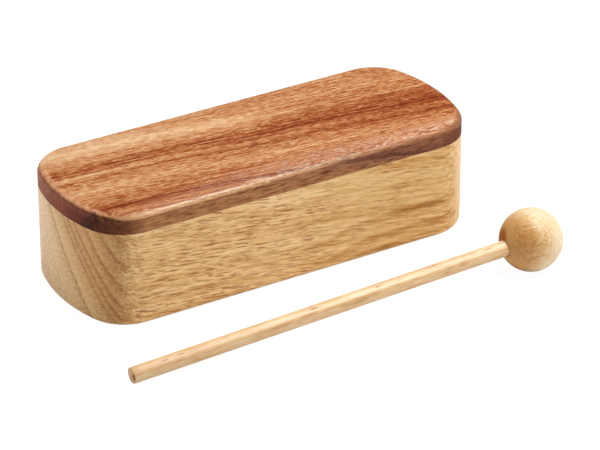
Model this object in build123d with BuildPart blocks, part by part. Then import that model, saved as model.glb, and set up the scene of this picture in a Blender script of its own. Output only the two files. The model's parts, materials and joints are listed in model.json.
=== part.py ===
from build123d import *

import os
from math import asin, atan2, cos, hypot, radians, sin, sqrt

# A slotted wood block and its beater, in millimetres.
# X runs along the block, Y from its front to its back, and Z up from the face that it rests on.

# Block: a pale body and a darker striking plate, both cut to one outline
block_length = 220.0         # over the crowns of the two bowed ends
block_width = 84.5
end_bow = 10.4               # how far an end's crown stands out beyond its corners
corner_radius = 23.0         # upright corners, seen from above
body_height = 50.5
plate_thickness = 10.7
plate_edge_radius = 4.0      # round along the plate's top edge
base_edge_radius = 4.0       # round along the body's bottom edge

# Sound slot: a shallow chamber right under the plate, open along the back
slot_end_wall = 36.0         # wood left at each end, measured from the end's crown
slot_front_wall = 20.0       # wood left between the chamber and the front face
slot_height = 10.0
slot_cutter_radius = 8.0     # what the router bit leaves in the two blind corners
slot_mouth_round = 1.0       # sanded edge of the mouth

# Beater: a dowel glued into a blind hole in a turned ball
ball_diameter = 32.0
stick_diameter = 8.0
stick_length = 226.5
stick_end_round = 0.6
socket_depth = 20.0          # from the ball's surface to the floor of the hole
socket_mouth_chamfer = 0.5
glue_gap_round = 0.1         # between the dowel and the wall of the hole
glue_gap_end = 0.5           # between the dowel and the floor of the hole

# Where the beater lies, in front of the block
ball_along = 104.4           # ball's centre, from the middle of the block
ball_out = 50.5              # ball's centre, from the block's front face
beater_turn = -1.7           # degrees between the stick and the block, seen from above

half_length = block_length / 2
half_width = block_width / 2
side_end = half_length - end_bow
slot_half_length = half_length - slot_end_wall
slot_floor = body_height - slot_height
slot_front = slot_front_wall - half_width

# Plan of the block: two straight sides, two bowed ends and four rounded corners
with BuildSketch() as outline:
    with BuildLine():
        Line((-side_end, -half_width), (side_end, -half_width))
        ThreePointArc((side_end, -half_width), (half_length, 0), (side_end, half_width))
        Line((side_end, half_width), (-side_end, half_width))
        ThreePointArc((-side_end, half_width), (-half_length, 0), (-side_end, -half_width))
    make_face()
    fillet(outline.vertices(), corner_radius)

# Plan of the chamber: it runs out through the back, and its blind corners keep the cutter's radius
with BuildSketch(Plane.XY.offset(slot_floor)) as slot_plan:
    with BuildLine():
        Polyline(
            (-slot_half_length, half_width),
            (-slot_half_length, slot_front),
            (slot_half_length, slot_front),
            (slot_half_length, half_width),
            close=True,
        )
    make_face()
    fillet(slot_plan.vertices().group_by(Axis.Y)[0], slot_cutter_radius)

# Body
with BuildPart() as body:
    add(outline.sketch)
    extrude(amount=body_height)
    fillet(body.edges().group_by(Axis.Z)[0], base_edge_radius)
    add(slot_plan.sketch)
    extrude(amount=slot_height, mode=Mode.SUBTRACT)
    back_edges = body.edges().filter_by_position(Axis.Y, half_width, half_width)
    mouth_edges = back_edges.filter_by_position(Axis.Z, slot_floor, body_height, inclusive=(True, False))
    fillet(mouth_edges, slot_mouth_round)
body.part.label = "body"

# Striking plate
with BuildPart() as top_plate:
    with BuildSketch(Plane.XY.offset(body_height)):
        add(outline.sketch)
    extrude(amount=plate_thickness)
    fillet(top_plate.edges().group_by(Axis.Z)[-1], plate_edge_radius)
top_plate.part.label = "top_plate"

# The beater lies on its ball and on the lower rim of the stick's free end.
# With the rim's round taken off both heights, the tilt t solves reach * sin(t) + rise * cos(t) = drop.
ball_radius = ball_diameter / 2
stick_radius = stick_diameter / 2
socket_floor = socket_depth - ball_radius
stick_tip = socket_floor - glue_gap_end
end_to_centre = stick_length - stick_tip
reach = end_to_centre - stick_end_round
rise = stick_radius - stick_end_round
drop = ball_radius - stick_end_round
tilt = asin(drop / hypot(reach, rise)) - atan2(rise, reach)
turn = radians(beater_turn)

ball_centre = Vector(ball_along, -half_width - ball_out, ball_radius)
stick_direction = Vector(cos(tilt) * cos(turn), cos(tilt) * sin(turn), sin(tilt))
side_direction = Vector(sin(turn), -cos(turn), 0)
stick_end = ball_centre - stick_direction * end_to_centre
stick_plane = Plane(origin=stick_end, x_dir=side_direction, z_dir=stick_direction)
head_plane = Plane(origin=ball_centre, x_dir=stick_direction, z_dir=side_direction)

# Dowel
with BuildPart() as beater_stick:
    with BuildSketch(stick_plane):
        Circle(stick_radius)
    extrude(amount=stick_length)
    fillet(beater_stick.edges().filter_by(GeomType.CIRCLE), stick_end_round)
beater_stick.part.label = "beater_stick"

# Ball: half of its section, turned about the stick's axis as on a lathe
socket_radius = stick_radius + glue_gap_round
mouth_radius = socket_radius + socket_mouth_chamfer
mouth_along = -sqrt(ball_radius**2 - mouth_radius**2)
with BuildPart() as beater_head:
    with BuildSketch(head_plane):
        with BuildLine():
            ThreePointArc((ball_radius, 0), (0, ball_radius), (mouth_along, mouth_radius))
            Polyline(
                (mouth_along, mouth_radius),
                (mouth_along + socket_mouth_chamfer, socket_radius),
                (socket_floor, socket_radius),
                (socket_floor, 0),
                (ball_radius, 0),
            )
        make_face()
    revolve(axis=Axis(ball_centre, stick_direction))
beater_head.part.label = "beater_head"

os.makedirs("parts", exist_ok=True)
for piece in (body, top_plate, beater_stick, beater_head):
    export_step(piece.part, f"parts/{piece.part.label}.step")
    print(piece.part.label, f"{piece.part.volume / 1000:.1f} cm3")
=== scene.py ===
# %% [markdown]
# # A slotted wood block and its beater
#
# The block is two woods glued together: a pale, open-pored body and a red-brown striking plate. The beater
# is a dowel in a turned ball. The frame gives the places and sizes of these four pieces. This lesson makes
# a fine surface for each one, and a wood that is worked out in three dimensions, so that the face, the
# side and the end of a board agree.

# %% Load the frame
import json
from math import acos, atan2, degrees, hypot, radians

import bmesh
import bpy
import numpy as np
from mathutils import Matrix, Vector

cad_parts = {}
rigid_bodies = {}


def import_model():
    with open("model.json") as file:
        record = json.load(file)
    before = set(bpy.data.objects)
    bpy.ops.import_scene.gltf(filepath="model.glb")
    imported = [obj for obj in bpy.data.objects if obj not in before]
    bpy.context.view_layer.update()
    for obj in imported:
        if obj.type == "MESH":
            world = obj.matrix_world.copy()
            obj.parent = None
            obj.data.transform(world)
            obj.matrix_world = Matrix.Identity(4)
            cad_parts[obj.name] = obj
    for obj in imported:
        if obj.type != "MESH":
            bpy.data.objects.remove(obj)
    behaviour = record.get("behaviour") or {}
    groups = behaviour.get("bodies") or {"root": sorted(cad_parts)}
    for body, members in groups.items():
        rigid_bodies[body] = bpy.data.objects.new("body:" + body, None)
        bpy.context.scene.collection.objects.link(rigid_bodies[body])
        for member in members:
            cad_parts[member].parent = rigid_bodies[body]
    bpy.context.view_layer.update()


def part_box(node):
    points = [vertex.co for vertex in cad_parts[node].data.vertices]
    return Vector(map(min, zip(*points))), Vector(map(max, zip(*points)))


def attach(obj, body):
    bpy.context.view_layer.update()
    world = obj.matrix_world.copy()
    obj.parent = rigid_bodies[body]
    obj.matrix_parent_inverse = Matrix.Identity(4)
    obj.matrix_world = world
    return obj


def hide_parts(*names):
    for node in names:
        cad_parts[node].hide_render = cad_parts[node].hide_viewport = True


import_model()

# %% [markdown]
# ## Sizes
#
# Lengths are in metres. What a box can show is measured from the frame, so it is never typed in twice.
# Curves that a box can't show, such as the bow of the ends, are named where they are first needed.

# %% Sizes of the block
MM = 0.001
half_length, half_width, joint_height = np.array(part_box("body")[1])
top_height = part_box("top_plate")[1][2]
print("block", 2 * half_length, "x", 2 * half_width, "x", top_height, "m")

# %% [markdown]
# ## From a grid to a mesh
#
# Every piece here is a grid bent into shape: rows run along a profile and columns run around a path.
# Primitives with Bevel modifiers could come close, but a grid follows the true arcs of the CAD model. One
# helper turns it into a mesh. It closes the columns into a loop, merges the points that meet at a pole or
# a spine, and keeps crisp edges sharp.

# %% Grid helper
MERGE_DISTANCE = 0.001 * MM
SLIVER_LENGTH = 0.0001 * MM
SHARP_ANGLE = radians(35)


def clean_mesh(mesh):
    """Merges points that coincide, turns every face outwards and shades all but the sharp edges smooth."""
    work = bmesh.new()
    work.from_mesh(mesh)
    bmesh.ops.remove_doubles(work, verts=work.verts, dist=MERGE_DISTANCE)
    bmesh.ops.dissolve_degenerate(work, edges=work.edges, dist=SLIVER_LENGTH)
    bmesh.ops.recalc_face_normals(work, faces=work.faces)
    work.to_mesh(mesh)
    work.free()
    mesh.shade_smooth()
    mesh.set_sharp_from_angle(angle=SHARP_ANGLE)
    return mesh


def add_object(name, data):
    """Puts a mesh, lamp or camera into the scene as an object."""
    thing = bpy.data.objects.new(name, data)
    bpy.context.scene.collection.objects.link(thing)
    return thing


def mesh_from_grid(name, grid):
    """Joins each point of a (rows, columns, 3) grid to its neighbours, the last column to the first."""
    rows, columns, _ = grid.shape
    index = np.arange(rows * columns).reshape(rows, columns)
    beside = np.roll(index, -1, axis=1)
    quads = np.stack([index[:-1], beside[:-1], beside[1:], index[1:]], axis=-1).reshape(-1, 4)
    mesh = bpy.data.meshes.new(name)
    mesh.from_pydata(grid.reshape(-1, 3), [], quads)
    return clean_mesh(mesh)


print("edges over", round(degrees(SHARP_ANGLE)), "degrees stay sharp")

# %% [markdown]
# ## The outline that body and plate share
#
# Seen from above, the long sides are straight, the ends bow out along an arc, and a smaller arc rounds
# each corner. A curve object could hold this outline too, but arrays also give the outward normals, which
# the rounded edges need. Only a quarter is worked out. Mirrored copies make the loop, so opposite halves
# match point for point.

# %% Outline
end_bow = 10.4 * MM
corner_radius = 23 * MM
bow_radius = (half_width**2 + end_bow**2) / (2 * end_bow)
bow_centre = half_length - bow_radius
corner_y = half_width - corner_radius
corner_x = bow_centre + np.sqrt((bow_radius - corner_radius) ** 2 - corner_y**2)
corner_angle = atan2(corner_y, corner_x - bow_centre)


def block_outline(side_steps=36, corner_steps=28, end_steps=16):
    """Points and outward normals of the loop.

    A quarter is a straight side at half_width, an arc of corner_radius about (corner_x, corner_y) and an
    arc of bow_radius about (bow_centre, 0). It is mirrored in X, in Y and in both.
    """
    corner = np.linspace(np.pi / 2, corner_angle, corner_steps)
    end = np.linspace(corner_angle, 0, end_steps)[1:]
    angle = np.concatenate([np.full(side_steps, np.pi / 2), corner, end])
    x = np.concatenate([
        np.linspace(0, corner_x, side_steps, endpoint=False),
        corner_x + corner_radius * np.cos(corner),
        bow_centre + bow_radius * np.cos(end),
    ])
    y = np.concatenate([
        np.full(side_steps, half_width),
        corner_y + corner_radius * np.sin(corner),
        bow_radius * np.sin(end),
    ])
    loops = []
    for quarter in (np.stack([x, y], axis=1), np.stack([np.cos(angle), np.sin(angle)], axis=1)):
        right_back = quarter[::-1][:-1]
        left_back = (quarter * [-1, 1])[:-1]
        loops.append(np.concatenate([right_back, left_back, -right_back, -left_back]))
    return loops


outline, outline_normal = block_outline()
print("outline of", len(outline), "points, corner arcs start at x =", round(corner_x, 4))

# %% [markdown]
# ## A profile carried round the outline
#
# A router bit works wood in this way: it has the profile, and it runs round the edge. An extruded outline
# with a Bevel modifier would also get round edges. Here the profile sets each row, so the rows lie close
# where the edge turns and wide apart where it is straight. A flat face closes on a spine, a line along its
# middle.

# %% Profile carried round the outline
FACE_SHARES = np.array([0.01, 0.04, 0.12, 0.3, 0.55, 0.8, 1.0])
spine_share = (half_length - half_width) / half_length


def profile_rows(inset, share, height):
    """Rows of a profile. Each argument is an array, or one value for all rows."""
    return np.stack(np.broadcast_arrays(inset, share, height), axis=-1).astype(float)


def block_skin(profile):
    """Carries a profile round the outline.

    The outline moves inwards by a row's inset along its normals, then by the row's share of the way to the
    spine, and up to the row's height.
    """
    inset, share, height = profile.T[:, :, None, None]
    ring = outline - inset * outline_normal
    spine = outline * [spine_share, 0]
    plan = ring * (1 - share) + spine * share
    return np.concatenate([plan, np.broadcast_to(height, plan.shape[:2] + (1,))], axis=2)


print("a flat face closes in", len(FACE_SHARES), "rows on a spine,", round(spine_share, 3), "of its length")

# %% [markdown]
# ## Body
#
# The real body is one block of wood, sawn to the outline, with its bottom edge rounded over. Its skin is
# one profile: under the block, round the edge, up the wall and over the covered top. A cube with bevelled
# edges would still need its ends bowed.

# %% Body skin
base_round = 4 * MM
WALL_SHARES = np.array([0.1, 0.3, 0.5, 0.7, 0.9, 1.0])


def body_profile(round_steps=12):
    """Flat underside, quarter round of base_round, upright wall, and the flat top that the plate covers."""
    turn = np.linspace(0, np.pi / 2, round_steps)
    return np.concatenate([
        profile_rows(base_round, FACE_SHARES[::-1], 0),
        profile_rows(base_round * (1 - np.sin(turn)), 0, base_round * (1 - np.cos(turn))),
        profile_rows(0, 0, base_round + (joint_height - base_round) * WALL_SHARES),
        profile_rows(0, FACE_SHARES, joint_height),
    ])


solid_body = mesh_from_grid("block_body", block_skin(body_profile()))
print("uncut body:", len(solid_body.polygons), "faces")

# %% [markdown]
# ## Sound chamber
#
# A shallow chamber right under the plate gives the block its voice. The photograph doesn't show it, so it
# has a usual size and opens at the back. It is milled, so the round cutter's radius stays in the two blind
# corners. Worked into the skin's own grid, it would tear the rows apart. So a second grid has the shape of
# what is milled away, and a boolean takes it out.

# %% Chamber cutter
slot_end_wall = 36 * MM
slot_front_wall = 20 * MM
slot_height = 10 * MM
slot_cutter_radius = 8 * MM
slot_mouth_round = 1 * MM
slot_half = half_length - slot_end_wall
slot_blind = slot_front_wall - half_width


def chamber_cutter(corner_steps=10, mouth_steps=7, overrun=6 * MM):
    """A rectangle carried from the blind end out through the back.

    Its half length is slot_half less the cutter's quarter round at the blind end. At the mouth it flares
    by a quarter round of slot_mouth_round, which leaves a sanded edge on the body.
    """
    corner = np.linspace(0, np.pi / 2, corner_steps)
    mouth = np.linspace(0, np.pi / 2, mouth_steps)
    y = np.concatenate([
        slot_blind + slot_cutter_radius * (1 - np.cos(corner)),
        half_width - slot_mouth_round * (1 - np.sin(mouth)),
        [half_width + overrun],
    ])
    flare = slot_mouth_round * (1 - np.cos(mouth))
    flare = np.concatenate([np.zeros(corner_steps), flare, flare[-1:]])
    inset = slot_cutter_radius * (1 - np.sin(corner))
    inset = np.concatenate([inset, np.zeros(mouth_steps + 1)])
    x = slot_half - inset + flare
    low = joint_height - slot_height - flare
    high = np.full_like(y, joint_height + overrun)
    corners = ((-x, high), (-x, low), (x, low), (x, high))
    section = np.stack([np.stack([across, y, up], axis=1) for across, up in corners], axis=1)
    middle = section.mean(axis=1, keepdims=True).repeat(4, axis=1)
    return np.concatenate([middle[:1], section, middle[-1:]])


print("chamber", round(2 * slot_half, 4), "m long and", round(half_width - slot_blind, 5), "m deep")


# %% Cut the chamber
def cut_away(mesh, cutter_grid):
    """Subtracts a cutter from a mesh with an exact boolean and returns the result."""
    block = add_object("cut_block", mesh)
    cutter = add_object("cut_tool", mesh_from_grid("cut_tool", cutter_grid))
    cut = block.modifiers.new("cut", "BOOLEAN")
    cut.operation = "DIFFERENCE"
    cut.solver = "EXACT"
    cut.object = cutter
    result = bpy.data.meshes.new_from_object(block.evaluated_get(bpy.context.evaluated_depsgraph_get()))
    bpy.data.objects.remove(block)
    bpy.data.objects.remove(cutter)
    return clean_mesh(result)


def fit_piece(name, mesh, body, node):
    """Puts a finished mesh into the scene in place of a CAD node, riding on that node's body."""
    piece = add_object(name, mesh)
    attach(piece, body)
    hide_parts(node)
    print(name, len(mesh.vertices), "points,", len(mesh.polygons), "faces")
    return piece


body_mesh = cut_away(solid_body, chamber_cutter())
body_piece = fit_piece("block_body", body_mesh, "block", "body")

# %% [markdown]
# ## Striking plate
#
# The plate is cut to the same outline and glued on flush. Its top edge is rounded over, and sanding has
# let the face roll off by a hair towards that edge. A plain round would meet a flat face along a hard line
# of light. The roll-off softens it, as on the real plate.

# %% Plate skin
plate_round = 4 * MM
face_ease = 0.45 * MM
ease_reach = 9 * MM
PLATE_WALL_SHARES = np.array([0.0, 0.05, 0.5, 0.95])


def plate_profile(round_steps=14, ease_steps=6):
    """Flat underside, upright wall, round top edge, a face that rolls off, and its flat middle.

    The roll-off is a parabola that drops by face_ease over ease_reach. The round is an arc of plate_round
    that stops at the parabola's slope, so the two meet without a crease.
    """
    stop = np.pi / 2 - np.arctan(2 * face_ease / ease_reach)
    turn = np.linspace(0, stop, round_steps)
    round_end = plate_round * (1 - np.cos(stop))
    wall = top_height - face_ease - plate_round * np.sin(stop)
    part = np.linspace(0, 1, ease_steps)[1:]
    return np.concatenate([
        profile_rows(0, FACE_SHARES[::-1], joint_height),
        profile_rows(0, 0, joint_height + (wall - joint_height) * PLATE_WALL_SHARES),
        profile_rows(plate_round * (1 - np.cos(turn)), 0, wall + plate_round * np.sin(turn)),
        profile_rows(round_end + ease_reach * part, 0, top_height - face_ease * (1 - part) ** 2),
        profile_rows(round_end + ease_reach, FACE_SHARES, top_height),
    ])


plate_mesh = mesh_from_grid("striking_plate", block_skin(plate_profile()))
plate_piece = fit_piece("striking_plate", plate_mesh, "block", "top_plate")

# %% [markdown]
# ## How the beater lies
#
# Ball and dowel share one axis. The frame gives the ball's box, hence its centre. The beater rests on its
# ball and on the rim of the dowel's free end, so the tilt follows from the sizes. Setting it by eye would
# leave a gap under one end.

# %% Axis of the beater
ball_radius = 16 * MM
stick_radius = 4 * MM
stick_length = 226.5 * MM
stick_end_round = 0.6 * MM
socket_depth = 20 * MM
socket_end_gap = 0.5 * MM
beater_turn = radians(-1.7)

head_low, head_high = np.array(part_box("beater_head"))
ball_centre = np.array([head_high[0] - ball_radius, (head_low[1] + head_high[1]) / 2, ball_radius])
stick_tip = socket_depth - ball_radius - socket_end_gap
stick_start = stick_tip - stick_length
reach = -stick_start - stick_end_round
rise = stick_radius - stick_end_round
beater_tilt = np.arcsin((ball_radius - stick_end_round) / hypot(reach, rise)) - atan2(rise, reach)
stick_axis = np.array([
    np.cos(beater_tilt) * np.cos(beater_turn),
    np.cos(beater_tilt) * np.sin(beater_turn),
    np.sin(beater_tilt),
])
print("beater tilts by", round(np.degrees(beater_tilt), 2), "degrees")

# %% [markdown]
# ## Ball and dowel
#
# Both pieces are turned on a lathe, so each is a half section spun about the axis. A Screw modifier could
# spin it, but the object would then be turned into place, and a pattern on Object coordinates would turn
# with it. Here the points are worked out where they lie.

# %% Beater ball
socket_gap = 0.1 * MM
socket_chamfer = 0.5 * MM


def turned(along, radius, columns=96):
    """Spins a half section about the stick's axis.

    A point is the ball's centre, plus along times the axis, plus radius times a spoke square to the axis.
    """
    side = np.cross(stick_axis, [0, 0, 1])
    side = side / np.linalg.norm(side)
    over = np.cross(side, stick_axis)
    angle = np.linspace(0, 2 * np.pi, columns, endpoint=False)
    spoke = np.cos(angle)[:, None] * side + np.sin(angle)[:, None] * over
    return ball_centre + along[:, None, None] * stick_axis + radius[:, None, None] * spoke


def ball_section(steps=64, lip_steps=5):
    """Sphere from its far pole to the mouth of the hole, a small rounded lip, then the hole to its floor."""
    hole = stick_radius + socket_gap
    mouth = np.arcsin((hole + socket_chamfer) / ball_radius)
    sphere = np.linspace(0, np.pi - mouth, steps)
    lip = np.linspace(0, np.pi / 2, lip_steps)[1:]
    along = np.concatenate([
        ball_radius * np.cos(sphere),
        ball_radius * np.cos(sphere[-1]) + socket_chamfer * np.sin(lip),
        [socket_depth - ball_radius] * 2,
    ])
    radius = np.concatenate([
        ball_radius * np.sin(sphere),
        hole + socket_chamfer * np.cos(lip),
        [hole, 0],
    ])
    return along, radius


ball_mesh = mesh_from_grid("beater_ball", turned(*ball_section()))
ball_piece = fit_piece("beater_ball", ball_mesh, "beater", "beater_head")

# %% Beater dowel
CUT_END_SHARES = np.array([0, 0.5, 0.9])


def stick_section(length_steps=60, round_steps=5):
    """Cut end with its rim eased by stick_end_round, straight dowel, and the same end inside the ball."""
    turn = np.linspace(0, np.pi / 2, round_steps)
    face = CUT_END_SHARES * (stick_radius - stick_end_round)
    end_along = np.concatenate([np.zeros(len(face)), stick_end_round * (1 - np.cos(turn))])
    end_radius = np.concatenate([face, stick_radius - stick_end_round * (1 - np.sin(turn))])
    length = np.linspace(stick_start + stick_end_round, stick_tip - stick_end_round, length_steps)[1:-1]
    along = np.concatenate([stick_start + end_along, length, stick_tip - end_along[::-1]])
    radius = np.concatenate([end_radius, np.full(len(length), stick_radius), end_radius[::-1]])
    return along, radius


stick_mesh = mesh_from_grid("beater_dowel", turned(*stick_section()))
stick_piece = fit_piece("beater_dowel", stick_mesh, "beater", "beater_stick")

# %% [markdown]
# ## Values that add nodes
#
# A finish is a net of small nodes. It could be drawn by hand in the Shader Editor, but a written recipe
# shows every number. Here a node's output can be added and multiplied like a number. Each sign and each
# call adds nodes, so a recipe reads like arithmetic.

# %% Nodes and values
class Nodes:
    """A node tree to add nodes to."""

    def __init__(self, tree):
        self.tree = tree

    def feed(self, socket, value):
        """Links a value to a socket, or sets a plain number, vector or colour on it."""
        if isinstance(value, Value):
            self.tree.links.new(value.socket, socket)
        else:
            socket.default_value = value

    def add(self, kind, inputs, output=0, **settings):
        """Adds one shader node with its settings and inputs, and returns one of its outputs."""
        node = self.tree.nodes.new("ShaderNode" + kind)
        for name, setting in settings.items():
            setattr(node, name, setting)
        for key, value in inputs.items():
            self.feed(node.inputs[key], value)
        return Value(self, node.outputs[output])


class Value:
    """One output of a node, to reckon with like a number."""

    def __init__(self, nodes, socket):
        self.nodes = nodes
        self.socket = socket

    def math(self, operation, *others, clamp=False):
        inputs = dict(enumerate((self, *others)))
        return self.nodes.add("Math", inputs, operation=operation, use_clamp=clamp)

    def __add__(self, other):
        return self.math("ADD", other)

    def __sub__(self, other):
        return self.math("SUBTRACT", other)

    def __rsub__(self, number):
        return self.math("MULTIPLY_ADD", -1, number)

    def __mul__(self, other):
        return self.math("MULTIPLY", other)

    def __abs__(self):
        return self.math("ABSOLUTE")

    def vector(self, operation, *others, output=0):
        inputs = dict(enumerate((self, *others)))
        return self.nodes.add("VectorMath", inputs, output, operation=operation)

    def dot(self, direction):
        return self.vector("DOT_PRODUCT", direction, output="Value")

    def length(self):
        return self.vector("LENGTH", output="Value")

    def off_axis(self):
        """How far a place lies from the X axis."""
        return self.vector("MULTIPLY", (0, 1, 1)).length()

    def split(self):
        first = self.nodes.add("SeparateXYZ", {0: self})
        return tuple(Value(self.nodes, socket) for socket in first.socket.node.outputs)

    def noise(self, detail=2, roughness=0.5):
        inputs = {"Vector": self, "Scale": 1, "Detail": detail, "Roughness": roughness}
        return self.nodes.add("TexNoise", inputs)

    def spread(self, size):
        """Turns a value between 0 and 1 into one between minus and plus size."""
        return self.math("MULTIPLY_ADD", 2 * size, -size)

    def step(self, start, end, low=0, high=1):
        """A smooth change from low to high while the value goes from start to end."""
        inputs = {"Value": self, "From Min": start, "From Max": end, "To Min": low, "To Max": high}
        return self.nodes.add("MapRange", inputs, interpolation_type="SMOOTHSTEP")

    def band(self, start, full, fade, end):
        """1 while the value is between full and fade, falling off to 0 at start and at end."""
        return self.step(start, full) * self.step(end, fade)

    def ramp(self, stops):
        """A colour ramp over (position, colour) stops, with any range of positions."""
        first = stops[0][0]
        width = stops[-1][0] - first
        share = self.math("MULTIPLY_ADD", 1 / width, -first / width)
        result = self.nodes.add("ValToRGB", {0: share}, "Color")
        elements = result.socket.node.color_ramp.elements
        for number, (position, colour) in enumerate(stops):
            place = (position - first) / width
            element = elements[number] if number < 2 else elements.new(place)
            element.position = place
            element.color = colour
        return result

    def curve(self, stops):
        """A ramp over (position, level) stops, for a plain value."""
        return self.ramp([(position, (level, level, level, 1)) for position, level in stops])

    def cover(self, share, colour, kind="MIX"):
        """This colour, covered or multiplied by another one to a share."""
        inputs = {0: share, 6: self, 7: colour}
        return self.nodes.add("Mix", inputs, 2, data_type="RGBA", blend_type=kind)


print("a value can", [name for name in vars(Value) if not name.startswith("_")])


# %% Vectors and tones
def join(x, y, z):
    """Three values as one vector."""
    return x.nodes.add("CombineXYZ", {0: x, 1: y, 2: z})


def tone(red, green, blue):
    """A colour on the 0 to 255 scale of a screen, as the linear light that a shader needs."""
    shares = np.array([red, green, blue]) / 255
    linear = np.where(shares <= 0.04045, shares / 12.92, ((shares + 0.055) / 1.055) ** 2.4)
    return (*linear.tolist(), 1)


print("half grey is", round(tone(128, 128, 128)[0], 3), "of the light")

# %% [markdown]
# ## What all woods share
#
# Wood is a bundle of long cells. Three things show on any cut through it: fibres, a noise drawn out along
# the grain; pores, cut vessels that are dashes on a side and dots on an end; and growth rings, cylinders
# about the pith. A picture of wood, wrapped round each piece, would show seams. These node groups work in
# space, in millimetres, so a dash on the side turns into a dot on the end.

# %% Fibres
NUMBER, VECTOR = "NodeSocketFloat", "NodeSocketVector"


def new_group(name, inputs, output):
    """Starts a shader node group; returns it with its nodes, its inputs by name and its output's socket."""
    tree = bpy.data.node_groups.new(name, "ShaderNodeTree")
    for label, kind in inputs.items():
        tree.interface.new_socket(label, in_out="INPUT", socket_type=kind)
    tree.interface.new_socket(output, in_out="OUTPUT", socket_type=NUMBER)
    nodes = Nodes(tree)
    sockets = tree.nodes.new("NodeGroupInput").outputs
    given = {label: Value(nodes, sockets[label]) for label in inputs}
    return tree, nodes, given, tree.nodes.new("NodeGroupOutput").inputs[output]


def fibre_group():
    """Noise drawn out along X: Length and Width are the size of one patch."""
    inputs = {"Place": VECTOR, "Length": NUMBER, "Width": NUMBER}
    tree, nodes, given, result = new_group("wood_fibre", inputs, "Value")
    patch = join(given["Length"], given["Width"], given["Width"])
    nodes.feed(result, given["Place"].vector("DIVIDE", patch).noise(detail=3, roughness=0.6))
    return tree


fibre_net = fibre_group()


def use(group, place, **sizes):
    """Puts a node group at a place, with its sizes by name, and returns its output."""
    return place.nodes.add("Group", {"Place": place, **sizes}, node_tree=group)


def fibres(grain, length, width):
    """The fibre noise, a value between 0 and 1."""
    return use(fibre_net, grain, Length=length, Width=width)


print("group", fibre_net.name)


# %% Pores
def pore_group():
    """Slim ellipsoids along X, one in each cell of a stretched Voronoi net; Share of the cells have one."""
    sizes = ("Apart", "Beside", "Length", "Width", "Share")
    inputs = {"Place": VECTOR, **dict.fromkeys(sizes, NUMBER)}
    tree, nodes, given, result = new_group("wood_pores", inputs, "Mask")
    cell = join(given["Apart"], given["Beside"], given["Beside"])
    size = join(given["Length"], given["Width"], given["Width"])
    place = given["Place"].vector("DIVIDE", cell)
    centre = nodes.add("TexVoronoi", {"Vector": place, "Scale": 1}, "Position")
    luck = Value(nodes, centre.socket.node.outputs["Color"]).split()[0]
    away = place.vector("SUBTRACT", centre).vector("MULTIPLY", cell).vector("DIVIDE", size).length()
    nodes.feed(result, away.step(0.5, 0.3) * luck.math("LESS_THAN", given["Share"]))
    return tree


pore_net = pore_group()
print("group", pore_net.name)

# %% Growth rings
RING_DRIFT = (60, 9, 9)


def ring_group():
    """Rings about the X axis: Value climbs from 0 to 1 across each ring, which is Spacing wide."""
    inputs = {"Place": VECTOR, "Spacing": NUMBER, "Waver": NUMBER}
    tree, nodes, given, result = new_group("growth_rings", inputs, "Value")
    drift = given["Place"].vector("DIVIDE", RING_DRIFT).noise().spread(1)
    radius = drift * given["Waver"] + given["Place"].off_axis()
    nodes.feed(result, radius.math("DIVIDE", given["Spacing"]).math("FRACT"))
    return tree


ring_net = ring_group()
print("group", ring_net.name)

# %% [markdown]
# ## Starting a finish
#
# All four pieces have a thin satin finish over bare wood. Every material starts with a Principled shader
# and the place on the piece in millimetres, with X along the grain. How squarely the surface faces the
# grain tells sides from ends. A thin finish sinks into open grain, so a bump from the same fibres and
# pores breaks up the highlights. Real dents would need millions of faces.

# %% Start of a finish
ALONG_BLOCK = (1, 0, 0)
FIBRE_RISE = 0.8
BUMP_STRENGTH = 0.6


def new_finish(name, gloss):
    """Starts a material; returns it with its nodes and its shader."""
    material = bpy.data.materials.new(name)
    material.use_nodes = True
    shader = material.node_tree.nodes["Principled BSDF"]
    shader.inputs["Specular IOR Level"].default_value = gloss
    return material, Nodes(material.node_tree), shader


def grain_place(nodes, origin=(0, 0, 0), turn=(0, 0, 0)):
    """Object coordinates in millimetres, measured from origin with X turned along the grain."""
    here = nodes.add("TexCoord", {}, "Object")
    inputs = {"Vector": here, "Location": origin, "Rotation": turn, "Scale": (MM, MM, MM)}
    return nodes.add("Mapping", inputs, vector_type="TEXTURE")


def facing(nodes, direction):
    """How squarely the surface faces a direction: 1 when it looks that way, -1 when it looks away."""
    return nodes.add("TexCoord", {}, "Normal").dot(direction)


def set_wood(shader, colour, roughness, thread, hollow, depth):
    """Sets colour and roughness, raises the fibres a little and sinks the open pores by depth."""
    nodes = colour.nodes
    inputs = {"Height": thread * FIBRE_RISE - hollow, "Strength": BUMP_STRENGTH, "Distance": depth}
    nodes.feed(shader.inputs["Base Color"], colour)
    nodes.feed(shader.inputs["Roughness"], roughness)
    nodes.feed(shader.inputs["Normal"], nodes.add("Bump", inputs))


def put_on(piece, material):
    """Gives a piece its finish."""
    piece.data.materials.append(material)
    print(piece.name, "in", material.name, "with", len(material.node_tree.nodes), "nodes")


print("fibres rise by", FIBRE_RISE, "of a pore's depth")

# %% [markdown]
# ## Body wood: growth layers
#
# The body is a pale tan wood. The pith was so far away that its growth layers are flat here, and they lean
# back through the block. So they cross the ends as slanted lines, and show on the front only as a few
# broad waves. Evenly spaced rings would look drawn. Real years differ, so the edges of the layers are a
# short list.

# %% Body layers
SQUARE_TO_LAYERS = (0, -0.82, 0.573)
FIRST_LAYER = 22.9
LAYER_EDGES = (-26, -14, 0, 11.5, 15, 19, 25, 33, 40, 47)
END_FACE = 106
CORNER_CROWDING = 0.46


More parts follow.
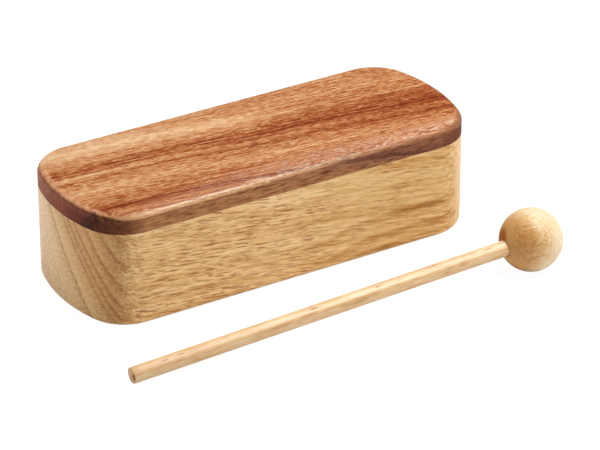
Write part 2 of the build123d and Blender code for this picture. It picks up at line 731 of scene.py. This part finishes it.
def body_layers(grain, here, end):
    """How far across the growth layers a point lies in millimetres, and how dark its layer is there.

    The distance is measured square to the layers. On the round corners it grows faster, so the lines crowd
    there. It swells at mid-length, and a slow noise sways it. Each layer darkens to a crisp edge.
    """
    x, y, z = here.split()
    off_end = (END_FACE - abs(x)).math("MAXIMUM", 0)
    crowding = off_end * y.math("SIGN") * CORNER_CROWDING * end
    square = join(x, y + crowding, z).dot(SQUARE_TO_LAYERS) - FIRST_LAYER
    swell = abs(x).step(5, 45, 4, 0)
    growth = square + swell + fibres(grain, 90, 30).spread(1)
    stops = [(-70, 0.25)]
    for edge in LAYER_EDGES:
        stops += [(edge - 3, 0.35), (edge - 0.5, 1), (edge + 0.4, 0)]
    on_side = growth.step(27, 23) * x.step(0, 60, 0.15, 0.5) + 0.25
    on_end = growth.step(-12, -2, 0.25, 0.85)
    return growth, growth.curve(stops) * (on_side + (on_end - on_side) * end)


print(len(LAYER_EDGES), "layers stand at", round(degrees(acos(SQUARE_TO_LAYERS[2]))), "degrees to the base")

# %% [markdown]
# ## Body wood: sides and ends
#
# On the sides, layers, long streaks and short threads add up to one depth, and a ramp turns depth into
# colour. The ends show the same layers. There a second tone deepens them across the layers towards the
# near corner, partly because cut fibres drink more finish and partly as painted shade. A pale grey over
# the ends, strongest at the back, is a painted sheen, and the golden tone at the right end is partly paler
# end grain and partly a painted highlight. Painting the ends apart would break the lines that run round
# the corners.

# %% Body colours
BODY_TONES = [
    (-0.3, tone(252, 219, 162)),
    (0.2, tone(239, 196, 133)),
    (0.6, tone(219, 169, 101)),
    (1.1, tone(179, 119, 55)),
]
# Tones that multiply the ends: the deeper tone of cut fibres, and painted shade that darkens them towards the
# near corner.
SOAK_AND_SHADE_TONES = [
    (-15, tone(252, 250, 252)),
    (2, tone(242, 236, 226)),
    (15, tone(226, 210, 184)),
]


def body_side(grain, x, ring):
    """Colour of the long sides, a little deeper and streakier towards the right, and the threads in it."""
    thread = fibres(grain, 9, 0.7)
    streak = fibres(grain, 60, 1.8).spread(1) * x.step(-40, 60, 0.75, 1.35)
    colour = (ring + streak + thread.spread(0.8)).ramp(BODY_TONES)
    return colour.cover(x.step(-20, 60), tone(242, 236, 223), "MULTIPLY"), thread


def body_ends(colour, growth, end, right_end_and_highlight):
    """Colour of the ends: deeper across the layers, partly painted shade, then a pale painted sheen, and
    golden at the right, partly a painted highlight.
    """
    # Painted shade: the ends deepen towards the near corner, on top of the end grain's own deeper tone.
    colour = colour.cover(end, growth.ramp(SOAK_AND_SHADE_TONES), "MULTIPLY")
    # Painted sheen: a pale grey over the ends, strongest at the back.
    colour = colour.cover(end * growth.step(-15, 15, 0.15, 0.05), tone(236, 222, 206))
    # Golden at the right end: partly the paler end grain, partly a painted highlight on the right corner.
    return colour.cover(right_end_and_highlight, tone(240, 202, 142))


print("tones for sides and ends:", len(BODY_TONES), len(SOAK_AND_SHADE_TONES))

# %% [markdown]
# ## Body wood: open vessels
#
# This wood has vessels so large that each one shows as a dash on the side. They come in clusters, with
# more of them in the left half. One kind of dash would repeat itself, so there are three: broad soft ones,
# short flecks, and slim pores. Flecks and pores also sink into the surface.

# %% Body finish
BODY_GRAIN_DROP = radians(8)


def body_vessels(grain, colour, x, end, right_end_and_highlight):
    """Covers the colour with dashes, flecks and pores, and returns it with the mask of the hollows."""
    cluster = fibres(grain, 16, 12).spread(1.2)
    crowd = x.step(-40, 50, 1, 0.5).math("ADD", cluster, clamp=True)
    crowd = crowd * end.step(0, 1, 1, 0.5) * right_end_and_highlight.step(0, 0.6, 1, 0.2)
    dash = fibres(grain, 14, 1.1).step(0.53, 0.61) * crowd
    fleck = fibres(grain, 7, 0.8).step(0.54, 0.62) * crowd
    pore = use(pore_net, grain, Apart=9.5, Beside=1.4, Length=11, Width=0.8, Share=0.85) * crowd
    colour = colour.cover(dash * 0.4, tone(182, 98, 10))
    colour = colour.cover(fleck * 0.6, tone(158, 70, 0))
    colour = colour.cover(pore * 0.62, tone(154, 70, 0))
    return colour, pore.math("MAXIMUM", fleck * 0.6)


def body_wood():
    """Tan wood: layers and streaks on the sides, end grain with painted shade and sheen, and open vessels
    along the grain.
    """
    material, nodes, shader = new_finish("body_wood", gloss=0.3)
    here = grain_place(nodes)
    grain = grain_place(nodes, turn=(0, BODY_GRAIN_DROP, 0))
    x = here.split()[0]
    ragged = fibres(grain, 8, 1.5).spread(0.3)
    end = (abs(facing(nodes, ALONG_BLOCK)) + ragged).step(0.26, 0.62)
    # The right end, most at its near corner: it thins the vessels and carries a golden tone that is partly a
    # painted highlight.
    right_end_and_highlight = end * x.step(-40, 60) * x.step(98, 107, 0.7, 0.3)
    growth, ring = body_layers(grain, here, end)
    colour, thread = body_side(grain, x, ring)
    colour = body_ends(colour, growth, end, right_end_and_highlight)
    colour, hollow = body_vessels(grain, colour, x, end, right_end_and_highlight)
    set_wood(shader, colour, hollow.step(0, 1, 0.42, 0.85), thread, hollow, 0.02 * MM)
    return material


put_on(body_piece, body_wood())

# %% [markdown]
# ## Plate wood: layers
#
# The plate is a red-brown wood, cut so that its growth layers meet the face at a slant. They show as long
# streaks that drift a few millimetres along the board, run out over the front edge and go on down the
# side. A stretched noise could make streaks too, but not each in its own place. So one number says how far
# across the layers a point lies, and a list says how dark each layer is.

# %% Plate layers
LAYER_SLANT = (0.113, 1, 0.87)
# The bend in millimetres, with STRAIGHT added so that the ramp holds no value below 0.
STRAIGHT = 5
BOARD_BEND = [
    (-110, STRAIGHT), (-85, 3.5), (-60, 2.1), (-35, 2.6),
    (0, STRAIGHT), (35, 3.8), (70, STRAIGHT), (110, STRAIGHT),
]
STREAKS = [
    (-66, 0.45), (-48, 0.66), (-43.2, 0.85), (-41.8, 1.35), (-40.4, 0.72), (-36, 0.62),
    (-30, 0.55), (-22, 0.27), (-14.5, 0.5), (-11.4, 0.55), (-10.2, 0.9), (-9, 0.5),
    (-5.5, 0.37), (-3.2, 0.8), (-1.5, 0.53), (0.5, 0.95), (2.2, 0.55), (3.4, 0.85), (5, 0.5),
    (7, 0.45), (9.5, 0.48), (16, 0.15), (21, 0.07), (30, 0.36), (37, 0.42), (58, 0.3),
]
STREAK_CONTRAST = [(-16, 0.5), (-5, 0.75), (8, 0.75), (14, 0.35)]
WHOLE_LENGTH = (-90, 90)
plate_top = float(top_height) / MM


def plate_layers(grain, here, x):
    """How far across the layers a point lies, in millimetres measured along Y on the top face.

    It is the distance along the slant, moved by the bend of the board and by a slow and a quick noise.
    """
    across = here.dot(LAYER_SLANT) - LAYER_SLANT[2] * plate_top
    bend = x.curve(BOARD_BEND) - STRAIGHT
    return across + bend + fibres(grain, 70, 14).spread(1.8) + fibres(grain, 26, 3).spread(0.9)


def plate_darkness(across, x):
    """How dark each layer is: 0 for the palest wood, 1 and more for the darkest streak.

    Towards the right the whole board darkens, the streaks in its middle darken more than the rest, and the
    pale band behind them loses some of its light.
    """
    dimmed = across.band(9, 14, 24, 29) * x.step(-10, 50, 0, 0.3)
    contrast = across.curve(STREAK_CONTRAST).spread(2) * x.step(*WHOLE_LENGTH, -0.05, 0.12)
    return across.curve(STREAKS) + dimmed + contrast + x.step(*WHOLE_LENGTH, -0.08, 0.14)


layer_angle = acos(LAYER_SLANT[2] / hypot(*LAYER_SLANT))
print("layers meet the face at", round(degrees(layer_angle)), "degrees, in", len(STREAKS), "shades")

# %% [markdown]
# ## Plate wood: face, sides and ends
#
# The face is planed and finished, so each thread of the wood glows in its own shade. The sides show the
# same layers, but sawn and duller. The ends are the darkest, because cut fibres drink the finish, and
# darkest of all towards the near left corner, which is partly the layers and partly painted shade. Three
# materials on three sets of faces would leave hard borders. One material leaves them ragged, as on wood.

# %% Plate colours
FACE_TONES = [
    (-0.15, tone(233, 197, 155)), (0.15, tone(213, 162, 115)), (0.35, tone(194, 134, 86)),
    (0.55, tone(177, 108, 61)), (0.8, tone(151, 71, 24)), (1.2, tone(110, 36, 0)),
]
SIDE_TONES = [
    (-66, tone(190, 133, 86)), (-50, tone(186, 129, 84)), (-46, tone(176, 121, 81)),
    (-44, tone(166, 113, 81)), (-42.5, tone(114, 66, 48)), (-41, tone(147, 94, 68)),
    (-36, tone(152, 94, 64)), (-28, tone(160, 100, 66)),
]
# Tones of the ends by layer; their darkest, towards the near left corner, is partly painted shade.
END_AND_SHADE_TONES = [
    (-64, tone(112, 50, 16)), (-56, tone(102, 46, 18)), (-50, tone(90, 40, 18)),
    (-45, tone(72, 28, 12)), (-38, tone(116, 52, 28)), (-15, tone(152, 82, 58)),
    (20, tone(202, 136, 114)),
]


def plate_threads(grain, dark):
    """Fine pattern of the face and a calmer one for sides and ends, then the threads and the pores in it."""
    vein = fibres(grain, 130, 1.2)
    line = fibres(grain, 50, 0.6)
    thread = fibres(grain, 3.5, 0.7)
    mottle = fibres(grain, 5, 9)
    pore = use(pore_net, grain, Apart=3.5, Beside=1.1, Length=3.6, Width=0.8, Share=0.55)
    lively = vein.spread(0.6) + thread.spread(1.2) + line.spread(0.7) + mottle.spread(0.2) + pore * 0.3
    calm = vein.spread(1) + line.spread(1) + thread.spread(0.5)
    return lively * dark.step(0.1, 0.7, 0.6, 0.95), calm, thread, pore


def plate_side(across, calm):
    """Colour of the long sides: a tone for each of the outer layers, shaded by the calm pattern."""
    shade = calm.math("ADD", 0.3, clamp=True)
    return across.ramp(SIDE_TONES).cover(shade, tone(144, 102, 74), "MULTIPLY")


def plate_end(across, dark, calm, blotch, drop, pore):
    """Colour of the ends: dark towards the front, partly painted shade, lit in blotches near the top by
    painted highlights, with layers and pores.
    """
    # Painted highlights: blotches near the top of the end.
    lit = blotch.step(0.4, 0.62) * drop.step(6.2, 1.2, 0.1, 0.6)
    layered = calm.math("MULTIPLY_ADD", 0.6, dark * 0.7, clamp=True)
    colour = across.ramp(END_AND_SHADE_TONES).cover(lit, tone(190, 112, 66))
    colour = colour.cover(layered, tone(166, 140, 130), "MULTIPLY")
    return colour.cover(pore * 0.35, tone(60, 20, 8))


print("tones for face, sides and ends:", len(FACE_TONES), len(SIDE_TONES), len(END_AND_SHADE_TONES))

# %% [markdown]
# ## Plate wood: painted sheen
#
# The round along the front has a pale painted sheen, most at the left. The left end's round has orange
# painted highlights in blotches, and the rim at the far right is darker. Along the front of the face runs
# a strip of painted sheen in pale threads. Marks painted on a picture would fit one view only. Here each
# mask is measured from its own edge. Drop is the depth below the plate's top in millimetres.

# %% Plate sheen
# Share of painted sheen on the front round, by x in millimetres.
SHEEN_ALONG_FRONT = [(-100, 0.3), (-86, 0.75), (-60, 0.65), (-30, 0.7), (-10, 0.7), (40, 0.4), (90, 0.25)]
GLINT_REACH = 4.22
GLINT_FULL = 2.02


def sheen_on_front_round(colour, x, drop, end, thread):
    """Painted sheen on the round along the sides, pale in streaks that follow the threads."""
    # Painted sheen: a pale band on the round, strongest at the left.
    glinting = drop.band(0.8, 1.6, 2.8, 3.6) * x.curve(SHEEN_ALONG_FRONT) * end.step(0.2, 0.8, 1, 0)
    return colour.cover(glinting * thread.step(0.4, 0.6, 0.3, 1), tone(240, 202, 156))


def glint_on_left_end(colour, here, x, drop, blotch):
    """The round of the left end, with orange painted highlights in blotches.

    How far inside the rim a point lies is the bow's radius less its distance from the bow's centre.
    """
    from_centre = here.vector("MULTIPLY_ADD", (1, 1, 0), (float(bow_centre) / MM, 0, 0)).length()
    inside = float(bow_radius) / MM - from_centre
    # Painted highlights: orange blotches along the rim of the left end.
    at_rim = inside.step(GLINT_REACH, GLINT_FULL) * drop.step(2.3, 1) * x.step(-80, -94)
    return colour.cover(at_rim * blotch.step(0.38, 0.6, 0.2, 0.9), tone(234, 172, 128))


def dark_right_rim(colour, x, drop):
    """The round at the right, darker except at its very end."""
    rim = x.step(80, 100, 0, 0.6) * x.step(102, 109, 1, 0.15) * drop.step(0.4, 0.9)
    return colour.cover(rim, tone(112, 60, 30))


def sheen_strip(colour, x, y, drop, thread):
    """Painted sheen in pale threads along the front of the face, more of them and closer to the edge at the
    right.
    """
    strip = (y + x.step(0, 90, 0, 4)).step(-27, -34) * drop.step(1.7, 0.9)
    # Painted sheen: pale threads in the strip.
    sheen_threads = strip * x.step(-110, 60, 0, 0.65) * thread.step(0.5, 0.6)
    return colour.cover(sheen_threads, tone(246, 214, 184))


print("the left rim is worn", GLINT_REACH, "mm in")

# %% Plate finish
PLATE_GRAIN_TURN = radians(-6)
SOAKED = [(0.02, 0), (0.19, 0.45), (0.36, 0.68), (0.53, 0.87), (0.8, 1)]


def plate_roughness(x, drop, end, pore):
    """Satin on the face, dull on sides and ends, with a sheen that changes along and over the round."""
    on_round = drop.band(0.9, 1.4, 2.2, 3.2) * x.step(-40, 20, -0.08, 0.12)
    over_round = drop.band(0.2, 0.4, 0.9, 1.3) * 0.25
    rough = drop.step(4.7, 3.2, 0.75, 0.24) + on_round + over_round
    return rough.math("MAXIMUM", end * 0.6) + pore * 0.2


def plate_wood():
    """Striped wood: a glowing face, duller sides, dark layered ends with pores, painted sheen and highlights
    on the rounds and along the front of the face, and a darker rim at the right.

    The more squarely a side is cut, the more of the end's colour it takes. The face begins at a ragged line
    on the round.
    """
    material, nodes, shader = new_finish("plate_wood", gloss=0.24)
    here = grain_place(nodes)
    grain = grain_place(nodes, turn=(0, 0, PLATE_GRAIN_TURN))
    x, y, z = here.split()
    drop = plate_top - z
    across = plate_layers(grain, here, x)
    dark = plate_darkness(across, x)
    lively, calm, thread, pore = plate_threads(grain, dark)
    blotch = fibres(grain, 4, 3)
    cut = abs(facing(nodes, ALONG_BLOCK))
    end = cut.step(0.3, 0.8)
    end_colour = plate_end(across, dark, calm, blotch, drop, pore)
    colour = plate_side(across, calm).cover(cut.curve(SOAKED), end_colour)
    ragged = drop + end * 1.6 - thread.spread(1.5)
    colour = colour.cover(ragged.step(3.9, 2.6), (dark + lively).ramp(FACE_TONES))
    colour = sheen_on_front_round(colour, x, drop, end, thread)
    colour = glint_on_left_end(colour, here, x, drop, blotch)
    colour = dark_right_rim(colour, x, drop)
    colour = sheen_strip(colour, x, y, drop, thread)
    set_wood(shader, colour, plate_roughness(x, drop, end, pore), thread, pore, 0.07 * MM)
    return material


put_on(plate_piece, plate_wood())

# %% [markdown]
# ## Beater woods
#
# The dowel is a straight-grained cream wood with soft clouds and a few dark vessels. Its cut end shows a
# brown heart, off the middle. The ball is honey-coloured. Its rings touch the surface on one side, where
# they spread into a speckled patch, darker partly from the rings and partly as painted shade. The side
# towards the dowel is darker, a painted shade, and one spot beside the hole is orange. New groups could be
# made for these two woods. The same ones do, because only the pith and the sizes change, as between two
# trees.

# %% Dowel wood
ball_place = tuple(ball_centre.tolist())
along_stick = tuple(stick_axis.tolist())
stick_grain = (0, -float(beater_tilt), beater_turn)
STICK_PITH = (0, 3, 9)
STICK_HEART = (0, -2.7, 0.5)


def stick_wood():
    """Cream wood with fibres, soft clouds and dark vessels, and a brown heart on the cut end."""
    material, nodes, shader = new_finish("stick_wood", gloss=0.6)
    grain = grain_place(nodes, origin=ball_place, turn=stick_grain)
    thread = fibres(grain, 6, 0.7)
    streak = fibres(grain, 40, 1.4).spread(0.25)
    cloud = fibres(grain, 22, 5).spread(0.6)
    ring = use(ring_net, grain.vector("SUBTRACT", STICK_PITH), Spacing=2.6, Waver=0.8)
    colour = (ring * 0.2 + streak + thread.spread(0.6) + cloud).ramp([
        (-0.4, tone(241, 211, 168)),
        (0.15, tone(228, 186, 134)),
        (0.7, tone(186, 130, 72)),
    ])
    vessel = use(pore_net, grain, Apart=9, Beside=1.6, Length=6, Width=0.7, Share=0.12)
    end = abs(facing(nodes, along_stick)).step(0.5, 0.95)
    heart = end * grain.vector("SUBTRACT", STICK_HEART).off_axis().step(2.1, 1.2)
    colour = colour.cover(vessel * 0.8, tone(140, 90, 48))
    colour = colour.cover(end * 0.6, tone(206, 150, 102))
    colour = colour.cover(heart, tone(146, 72, 0))
    set_wood(shader, colour, vessel.step(0, 1, 0.36, 0.6), thread, vessel, 0.03 * MM)
    return material


put_on(stick_piece, stick_wood())

# %% Ball wood
BALL_GRAIN = (0, radians(-16), radians(-23))
BALL_PITH = (0, 17.4, -9.8)
SPOT_DIRECTION = (-0.933, 0.24, 0.266)


def ball_wood():
    """Honey wood: rings that surface as a speckled patch darkened partly by painted shade, short pores, a
    painted shade on the side towards the dowel and an orange spot.
    """
    material, nodes, shader = new_finish("ball_wood", gloss=0.5)
    grain = grain_place(nodes, origin=ball_place, turn=BALL_GRAIN)
    pith = grain.vector("SUBTRACT", BALL_PITH)
    # The patch where the rings surface; its darkness is partly painted shade on the side that faces the
    # camera.
    patch = pith.off_axis().step(30.5, 35.8, 0, 0.3)
    thread = fibres(grain, 3, 0.7)
    speckle = thread.spread(1) * patch.step(0, 0.3, 0.35, 0.75)
    mottle = fibres(grain, 4, 4).spread(0.3)
    ring = use(ring_net, pith, Spacing=1.4, Waver=1.6)
    colour = (patch + ring * 0.15 + speckle + mottle).ramp([
        (-0.2, tone(240, 225, 200)),
        (0.15, tone(234, 203, 156)),
        (0.5, tone(216, 168, 100)),
        (1.1, tone(176, 120, 56)),
    ])
    pore = use(pore_net, grain, Apart=2.6, Beside=1, Length=2.6, Width=0.6, Share=0.4)
    # Painted shade: the side towards the dowel is darker.
    shade_towards_dowel = facing(nodes, along_stick).step(0, -0.75, 0, 0.9)
    spot = facing(nodes, SPOT_DIRECTION).step(0.945, 0.995, 0, 0.9)
    colour = colour.cover(pore * patch.step(0, 0.3, 0.2, 0.5), tone(146, 92, 42))
    colour = colour.cover(shade_towards_dowel, tone(218, 180, 118), "MULTIPLY")
    colour = colour.cover(spot, tone(204, 132, 40), "MULTIPLY")
    set_wood(shader, colour, pore.step(0, 1, 0.44, 0.6), thread, pore, 0.05 * MM)
    return material


put_on(ball_piece, ball_wood())

# %% [markdown]
# ## Floor
#
# The photograph is a product shot on white card. A plain floor would come out grey here, and one lit until
# it is white would throw too much light up at the pieces. So the card answers each kind of ray in its own
# way. The camera sees it white, with faint shading. Gloss sees it bright at the back left and at the
# right, and duller in front. To all other light it is plain card.

# %% Floor
PAPER_ROUGHNESS = 0.8
BACK_LEFT = (-0.53, 0.85, 0)


def flat_floor(size=6, gap=0.05 * MM):
    """A square, a hair below the pieces so that it never lies in one plane with them."""
    far = size / 2
    corners = [(-far, -far, -gap), (far, -far, -gap), (far, far, -gap), (-far, far, -gap)]
    mesh = bpy.data.meshes.new("floor")
    mesh.from_pydata(corners, [], [(0, 1, 2, 3)])
    floor = add_object("floor", mesh)
    print("floor", size, "m square")
    return floor


def pale_paper(white=0.92, seen_white=0.12, shine=0.95, mirrored=0.4, front=0.45):
    """White card: shine is its glow for the camera, mirrored its glow for gloss, front the share in front."""
    material, nodes, shader = new_finish("pale_paper", gloss=0.1)
    shader.inputs["Roughness"].default_value = PAPER_ROUGHNESS
    shader.inputs["Emission Color"].default_value = (1, 1, 1, 1)
    seen = nodes.add("LightPath", {}, "Is Camera Ray")
    gloss = nodes.add("LightPath", {}, "Is Glossy Ray")
    here = nodes.add("TexCoord", {}, "Object")
    behind = here.dot(BACK_LEFT).step(0, 0.1, front, 1)
    bright = behind.math("MAXIMUM", here.dot(ALONG_BLOCK).step(0.11, 0.17, front, 1))
    grey = seen.step(0, 1, white, seen_white) * (1 - gloss * (1 - bright))
    nodes.feed(shader.inputs["Base Color"], grey)
    nodes.feed(shader.inputs["Emission Strength"], seen * shine + gloss * bright * mirrored)
    return material


put_on(flat_floor(), pale_paper())

# %% [markdown]
# ## Light
#
# A wide lamp overhead gives the soft top light, a small one at the front right is the key, one at the left
# lifts the end of the block, and a weak one stands at the back. A picture of a studio could light the scene
# too, but lamps can be set one by one. The surround fills the shadows. Gloss sees it dim, because the top
# would mirror it and look washed out.

# %% Surround
def studio_world(light=0.25, backdrop=0.95, dim=0.1):
    """An even surround that lights the pieces softly; the camera sees it pale, and gloss sees it dim."""
    world = bpy.data.worlds.new("studio")
    world.use_nodes = True
    nodes = Nodes(world.node_tree)
    surround = world.node_tree.nodes["Background"]
    surround.inputs["Color"].default_value = (1, 1, 1, 1)
    seen = nodes.add("LightPath", {}, "Is Camera Ray")
    gloss = nodes.add("LightPath", {}, "Is Glossy Ray")
    strength = seen * (backdrop - light) + gloss * (dim - light) + light
    nodes.feed(surround.inputs["Strength"], strength)
    bpy.context.scene.world = world
    print("surround", light, "backdrop", backdrop)


studio_world()


# %% Lamps
def aim(thing, place, target):
    """Stands a lamp or camera at a place, looking at a target, with its top up."""
    back = np.array(place) - np.array(target)
    back = back / np.linalg.norm(back)
    right = np.cross([0, 0, 1], back)
    right = right / np.linalg.norm(right)
    over = np.cross(back, right)
    matrix = np.eye(4)
    matrix[:3, :] = np.stack([right, over, back, place], axis=1)
    thing.matrix_world = matrix.T.tolist()


def soft_lamp(name, place, target, width, height, watts):
    """A rectangular area lamp."""
    lamp = bpy.data.lights.new(name, "AREA")
    lamp.shape = "RECTANGLE"
    lamp.size = width
    lamp.size_y = height
    lamp.energy = watts
    aim(add_object(name, lamp), place, target)
    print(name, watts, "W")


soft_lamp("overhead_lamp", (0.6, 0.1, 1.25), (0, 0, 0.03), 0.6, 0.6, 11.8)
soft_lamp("key_lamp", (0.265, -0.334, 0.607), (-0.06, -0.041, 0.06), 0.16, 0.25, 2.5)
soft_lamp("left_lamp", (-1, 0.55, 0.55), (0, 0, 0.03), 0.5, 0.5, 3.5)
soft_lamp("back_lamp", (0.55, 0.75, 0.8), (0, 0, 0.06), 0.25, 0.25, 0.25)

# %% [markdown]
# ## Camera
#
# The camera stands to the left of the block and looks down on it through a long lens. Its place was found
# by fitting the outlines of block and beater to the photograph, which is more exact than moving it by
# hand. The Standard view keeps white white.

# %% Camera
SENSOR_WIDTH = 36
camera_azimuth = radians(-31.737)
camera_elevation = radians(28.099)
camera_distance = 1.61487
lens_mm = 194.29
aim_height = 0.033
aim_right = 0.0234
aim_up = -0.01912

back = np.array([
    np.sin(camera_azimuth) * np.cos(camera_elevation),
    -np.cos(camera_azimuth) * np.cos(camera_elevation),
    np.sin(camera_elevation),
])
right = np.array([np.cos(camera_azimuth), np.sin(camera_azimuth), 0])
over = np.cross(back, right)
target = np.array([0, 0, aim_height]) + right * aim_right + over * aim_up
camera_data = bpy.data.cameras.new("camera")
camera_data.sensor_fit = "HORIZONTAL"
camera_data.sensor_width = SENSOR_WIDTH
camera_data.lens = lens_mm
camera = add_object("camera", camera_data)
aim(camera, target + back * camera_distance, target)
bpy.context.scene.camera = camera
bpy.context.scene.view_settings.view_transform = "Standard"
print("camera at", np.round(target + back * camera_distance, 3))

# %% [markdown]
# ## Finish
#
